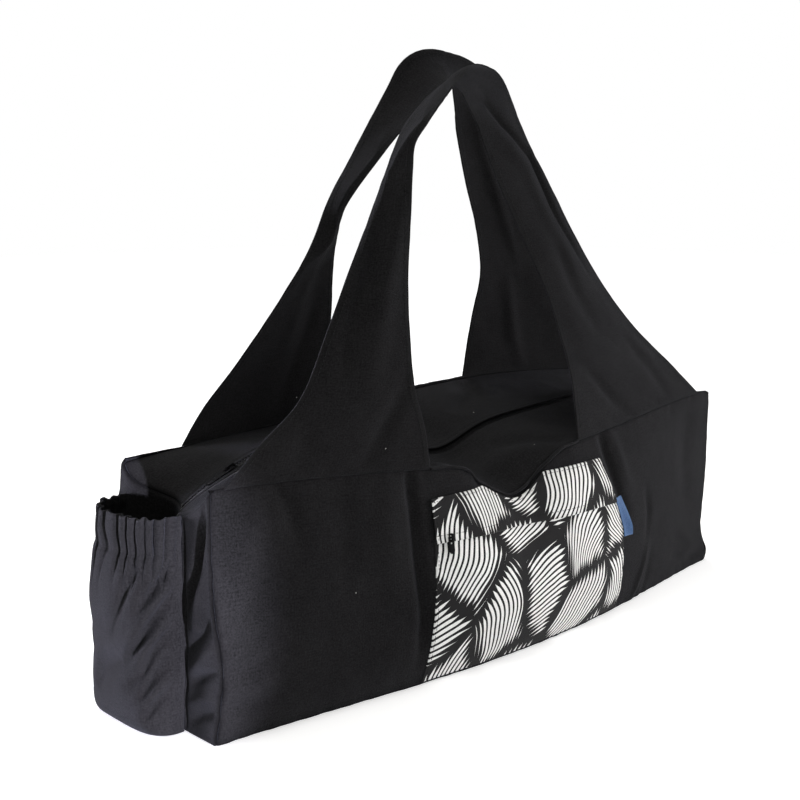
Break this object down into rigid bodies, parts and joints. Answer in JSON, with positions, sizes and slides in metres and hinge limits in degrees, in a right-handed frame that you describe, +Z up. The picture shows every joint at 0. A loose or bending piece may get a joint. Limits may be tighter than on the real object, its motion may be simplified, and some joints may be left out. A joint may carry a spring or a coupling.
{
  "type": "yoga kit bag",
  "caption": "Long soft cotton bag for a rolled exercise mat, with a zipped top, wide ribbon handles, a gathered end pocket and a printed zipped patch pocket on its front.",
  "frame": {"origin": "middle of the bottom of the bag's box, on the floor that the base stands on", "axes": "+Z up, +X along the bag from the end pocket to the plain end, -Y the front with the printed pocket"},
  "size_m": [0.7278, 0.2382, 0.5537],
  "materials": {
    "cotton": "matt near-black woven cotton",
    "print": "near-black cotton printed with a white leaf pattern",
    "zip_tape": "black woven tape and nylon coil",
    "fitting": "black painted",
    "tab": "blank blue woven ribbon"
  },
  "bodies": {
    "bag": {"front_panel": "cotton", "back_panel": "cotton", "base_panel": "cotton", "end_panel_near": "cotton", "end_panel_far": "cotton", "top_panel_front": "cotton", "top_panel_back": "cotton", "front_handle": "cotton", "back_handle": "cotton", "end_pocket": "cotton", "print_pocket": "print", "print_band": "print", "zip_slider": "fitting", "pocket_zip_slider": "fitting", "zip_tape": "zip_tape", "label_tab": "tab"},
    "top_pull": {"zip_pull": "fitting"},
    "pocket_pull": {"pocket_zip_pull": "fitting"}
  },
  "joints": [
    {"name": "zip_pull_hinge", "type": "hinge", "parent": "bag", "child": "top_pull", "pos_m": [-0.2551, -0.00057, 0.19456], "axis": [0, 1, 0], "range_deg": [0, 165]},
    {"name": "pocket_zip_pull_hinge", "type": "hinge", "parent": "bag", "child": "pocket_pull", "pos_m": [-0.10983, -0.11098, 0.12959], "axis": [-1, 0, 0], "range_deg": [0, 150]}
  ]
}
